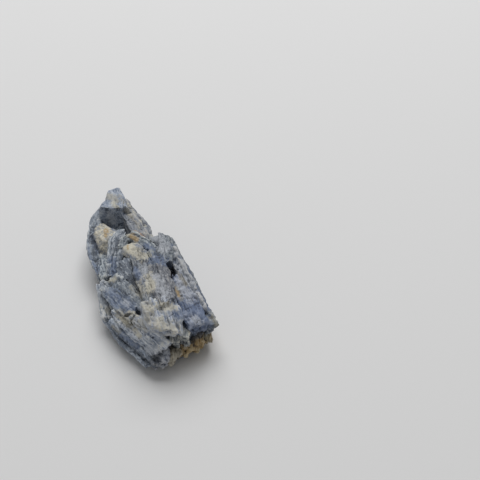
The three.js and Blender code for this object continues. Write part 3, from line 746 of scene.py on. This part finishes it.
def micaSkin():
    own = [("Shadow", "Color", None), ("Body", "Color", None), ("Edge", "Color", None), ("Gold", "Color", None),
           ("Balance", "Float", 0.0)]
    group, put, out = newGroup("Mica skin", skinInputs + own, skinOutputs)
    seed = put["Seed"]
    sheets = cloud(group, scaled(group, put["Grain"], (3.2, 0.5, 0.14)), 1.0, 4.0, seed, 0.6)
    hairs = cloud(group, scaled(group, put["Grain"], (7.0, 1.4, 0.4)), 1.0, 3.0, sums(group, "ADD", seed, 2.0))
    clumps = cloud(group, put["Place"], 0.42, 5.0, sums(group, "ADD", seed, 4.0), 0.65, 0.8)
    speck = cloud(group, put["Place"], 2.4, 3.0, sums(group, "ADD", seed, 8.0))
    height = split(group, put["Grain"])[2]
    # painted shade: the sheets darker towards the top, under the overhanging blade
    shade = between(group, height, 2.2, 5.8, 0.1)
    tone = weighted(group, (sheets, 0.34), (hairs, 0.2), (clumps, 0.46), (put["Relief"], 0.08),
                    (put["Balance"], 1.0), (shade, -1.0))
    colour = blendColours(group, between(group, tone, 0.38, 0.50), put["Shadow"], put["Body"])
    colour = blendColours(group, between(group, tone, 0.50, 0.62), colour, put["Edge"])
    golden = between(group, clumps, 0.52, 0.64, 0.6)
    colour = blendColours(group, golden, colour, put["Gold"])
    colour = stainedAndShadedColour(group, put, colour)
    colour = blendColours(group, between(group, speck, 0.6, 0.72, 0.4), colour, put["Edge"])
    # painted shade: darker in grooves and where crystals meet
    grooveShade = between(group, sums(group, "MULTIPLY", put["Relief"], -1.0), 0.2, 1.0, 0.75)
    feed(group, out["Color"], blendColours(group, grooveShade, colour, micaGrooveShade))
    feed(group, out["Roughness"], weighted(group, (sheets, -0.3), (0.6, 1.0)))
    feed(group, out["Height"], weighted(group, (sheets, 1.2), (hairs, 0.5), (speck, 0.5)))
    return group


mica = micaSkin()


def growMica(look):
    mesh = fineSkin(look["node"], micaVoxel)
    start = readMesh(mesh, "co", mesh.vertices) * 1000
    facing = readMesh(mesh, "vector", mesh.vertex_normals)
    corner, lean = np.array(look["corner"]), math.radians(look["lean"])
    away = start - corner
    spread = lean * np.clip(away[:, 0] / look["wide"], 0, 1)
    sheet = away[:, 0] * np.cos(spread) - away[:, 2] * np.sin(spread)
    grain = np.stack([sheet, away[:, 1], away[:, 2]], 1)
    seed = look["seed"]
    edges = rolling(grain, (1.9, 0.2, 0.1), seed)
    flakes = patchy(grain * (1, 0.1, 0.3) + 0.5 * edges[:, None], 1.1, seed)
    torn = 0.5 * flakes + 0.5 * eased(rolling(start, 0.5, seed + 3), -0.4, 0.4)
    height = 0.26 * edges + 0.9 * rolling(start, 0.36, seed + 1) + 0.4 * rolling(start, 0.9, seed + 2)
    move, near = meeting(start, facing, neighboursOf(look["node"]))
    worn = start + 0.6 * (smoothed(mesh, start, 6) - start)
    points = worn + move + facing * (skin["swell"] + height)[:, None]
    ending = np.sign(facing[:, 1]) * eased(np.abs(facing[:, 1]), 0.4, 0.8)
    points[:, 1] += ending * look["splinters"] * (0.3 - torn)
    finishMesh(mesh, start, points, grain, height / 0.5 + 0.1 - 0.3 * torn, near)
    settings = {"Shadow": tint(*look["shadow"]), "Body": tint(*look["body"]), "Edge": tint(*look["edge"]),
                "Gold": tint(*look["gold"]), "Balance": look["balance"]}
    return settle(look, mesh, skinMaterial(look["node"] + "_finish", mica, look, settings))


micaBook = {"node": "mica_book", "corner": (2.6, -33.8, 2.2), "wide": 10.5, "lean": 20, "seed": 113,
            "splinters": 0.9, "balance": 0.02, "shadow": (46, 38, 24), "body": (134, 114, 78),
            "edge": (200, 186, 152), "gold": (176, 136, 70), "gloss": 0.5}
growMica(micaBook)
smallMicaBook = {"node": "small_mica_book", "corner": (-1.8, -35.4, 2.2), "wide": 4.4, "lean": 14, "seed": 127,
                 "splinters": 0.6, "balance": 0.02, "shadow": (56, 52, 44), "body": (126, 120, 106),
                 "edge": (190, 184, 168), "gold": (140, 124, 92), "gloss": 0.5}
growMica(smallMicaBook)
print("mica made")


# floor, lights and camera

studio = {
    "floor": (224, 224, 224), "floorHalf": 3.0, "background": 0.26,  # places and sizes in metres
    "key": {"place": (0.26, 0.62, 1.02), "size": 1.0, "power": 12.6},
    "fill": {"place": (-0.9, -0.5, 0.6), "size": 0.8, "power": 0.3},
}

floorForm = bmesh.new()
bmesh.ops.create_grid(floorForm, x_segments=1, y_segments=1, size=studio["floorHalf"])
floorMesh = bpy.data.meshes.new("floor")
floorForm.to_mesh(floorMesh)
floorForm.free()
floor = bpy.data.objects.new("floor", floorMesh)
bpy.context.scene.collection.objects.link(floor)
floorFinish = bpy.data.materials.new("floor_paper")
floorFinish.use_nodes = True
floorShader = floorFinish.node_tree.nodes["Principled BSDF"]
floorShader.inputs["Base Color"].default_value = tint(*studio["floor"])
floorShader.inputs["Roughness"].default_value = 0.9
floorShader.inputs["Specular IOR Level"].default_value = 0.1
floorMesh.materials.append(floorFinish)
floor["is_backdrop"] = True

world = bpy.data.worlds.new("studio")
world.use_nodes = True
world.node_tree.nodes["Background"].inputs["Color"].default_value = (1, 1, 1, 1)
world.node_tree.nodes["Background"].inputs["Strength"].default_value = studio["background"]
bpy.context.scene.world = world


def softLight(name, place, size, power, aim=(0, 0, 0)):
    data = bpy.data.lights.new(name, "AREA")
    data.shape = "SQUARE"
    data.size = size
    data.energy = power
    lamp = bpy.data.objects.new(name, data)
    bpy.context.scene.collection.objects.link(lamp)
    lamp.location = place
    lamp.rotation_mode = "QUATERNION"
    lamp.rotation_quaternion = (Vector(aim) - Vector(place)).to_track_quat("-Z", "Y")


softLight("key", **studio["key"])
softLight("fill", **studio["fill"])

view = {"azimuth": -22, "elevation": 43, "lens": 85, "sensor": 36, "place": (-0.06587, -0.25022, 0.26195)}
turn, lift = math.radians(view["azimuth"]), math.radians(view["elevation"])
ahead = Vector((-math.sin(turn) * math.cos(lift), math.cos(turn) * math.cos(lift), -math.sin(lift)))
cameraData = bpy.data.cameras.new("camera")
cameraData.lens = view["lens"]
cameraData.sensor_width = view["sensor"]
cameraData.clip_start = 0.01
camera = bpy.data.objects.new("camera", cameraData)
bpy.context.scene.collection.objects.link(camera)
camera.location = view["place"]
camera.rotation_mode = "QUATERNION"
camera.rotation_quaternion = ahead.to_track_quat("-Z", "Y")
bpy.context.scene.camera = camera
bpy.context.scene.view_settings.view_transform = "Standard"
print("studio made")

total = sum(len(p.data.polygons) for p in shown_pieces())
print("faces in the pieces:", total)
